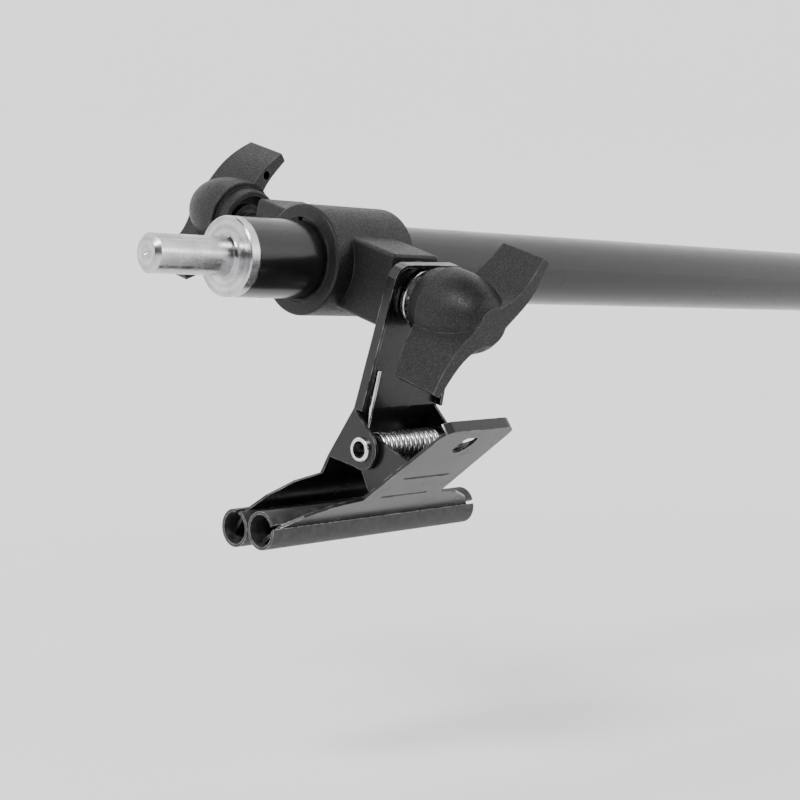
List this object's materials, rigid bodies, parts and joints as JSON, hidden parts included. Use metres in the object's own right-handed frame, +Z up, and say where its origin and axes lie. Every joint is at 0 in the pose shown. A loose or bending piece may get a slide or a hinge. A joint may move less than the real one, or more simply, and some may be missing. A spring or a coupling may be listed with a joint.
{
  "type": "clip holder arm",
  "caption": "Straight boom tube with a steel end stud and a sliding, turning collar that carries a sprung clip with two long round-edged jaws, locked by wing knobs.",
  "frame": {"origin": "middle of the stud's shoulder face, on the tube's axis", "axes": "+X along the tube away from the stud, +Z up as the arm is shown, -Y towards the clip side"},
  "size_m": [0.5364, 0.1495, 0.1346],
  "materials": {
    "tube_paint": "satin black baked paint, lightly rubbed",
    "turned_steel": "bright turned steel with fine tool rings",
    "black_plastic": "plain black plastic",
    "liner_plastic": "smooth black nylon",
    "collar_plastic": "fine-grained glass-filled black plastic",
    "knob_plastic": "fine-grained glass-filled black plastic, edges rubbed lighter",
    "brass": "machined brass",
    "zinc_steel": "bright zinc-plated steel",
    "clip_paint": "gloss black paint on pressed steel, edges worn bright",
    "spring_wire": "bright spring steel wire",
    "jaw_rubber": "matte black mottled rubber"
  },
  "bodies": {
    "arm": {"boom_tube": "tube_paint", "end_stud": "turned_steel", "end_cap": "black_plastic"},
    "slide_liner": {"collar_liner": "liner_plastic"},
    "collar_body": {"collar": "collar_plastic", "front_insert": "brass", "rear_insert": "brass", "pivot_washer": "black_plastic"},
    "lock_pad": {"pressure_pad": "brass"},
    "lock_knob": {"rear_knob": "knob_plastic", "rear_screw": "zinc_steel"},
    "clamp_stack": {"flat_washer": "zinc_steel", "hex_spacer": "zinc_steel"},
    "clamp_knob": {"front_knob": "knob_plastic", "front_screw": "zinc_steel"},
    "clip": {"clip_back_plate": "clip_paint", "clip_rivet": "zinc_steel", "torsion_spring": "spring_wire", "back_jaw_sleeve": "jaw_rubber"},
    "lever": {"clip_lever": "clip_paint", "front_jaw_sleeve": "jaw_rubber"}
  },
  "joints": [
    {"name": "collar_slide", "type": "slide", "parent": "arm", "child": "slide_liner", "axis": [1, 0, 0], "range_m": [-0.026, 0.42]},
    {"name": "collar_turn", "type": "hinge", "parent": "slide_liner", "child": "collar_body", "pos_m": [0.048, 0, 0], "axis": [1, 0, 0], "continuous": true},
    {"name": "lock_travel", "type": "slide", "parent": "collar_body", "child": "lock_pad", "axis": [0, 0.95, 0.3123], "range_m": [0, 0.000625]},
    {"name": "lock_knob_turn", "type": "hinge", "parent": "lock_pad", "child": "lock_knob", "pos_m": [0.048, 0, 0], "axis": [0, 0.95, 0.3123], "range_deg": [0, 180.5]},
    {"name": "clamp_travel", "type": "slide", "parent": "collar_body", "child": "clamp_stack", "axis": [0, -0.95, -0.3123], "range_m": [0, 0.00045]},
    {"name": "clamp_knob_turn", "type": "hinge", "parent": "clamp_stack", "child": "clamp_knob", "pos_m": [0.048, 0, 0], "axis": [0, -0.95, -0.3123], "range_deg": [0, 130]},
    {"name": "clip_swivel", "type": "hinge", "parent": "collar_body", "child": "clip", "pos_m": [0.048, 0, 0], "axis": [0, -0.95, -0.3123], "continuous": true},
    {"name": "lever_hinge", "type": "hinge", "parent": "clip", "child": "lever", "pos_m": [0.04924, -0.0276, -0.05885], "axis": [-0.9997, 0.0082, -0.0249], "range_deg": [0, 14], "stiffness_Nm_per_rad": 0.6, "springref_deg": -28.65, "deforming": ["torsion_spring"]}
  ],
  "couplings": [
    {"joint": "lock_knob_turn", "follows": "lock_travel", "rad_per_m": 5026.5},
    {"joint": "clamp_knob_turn", "follows": "clamp_travel", "rad_per_m": 5026.5}
  ]
}
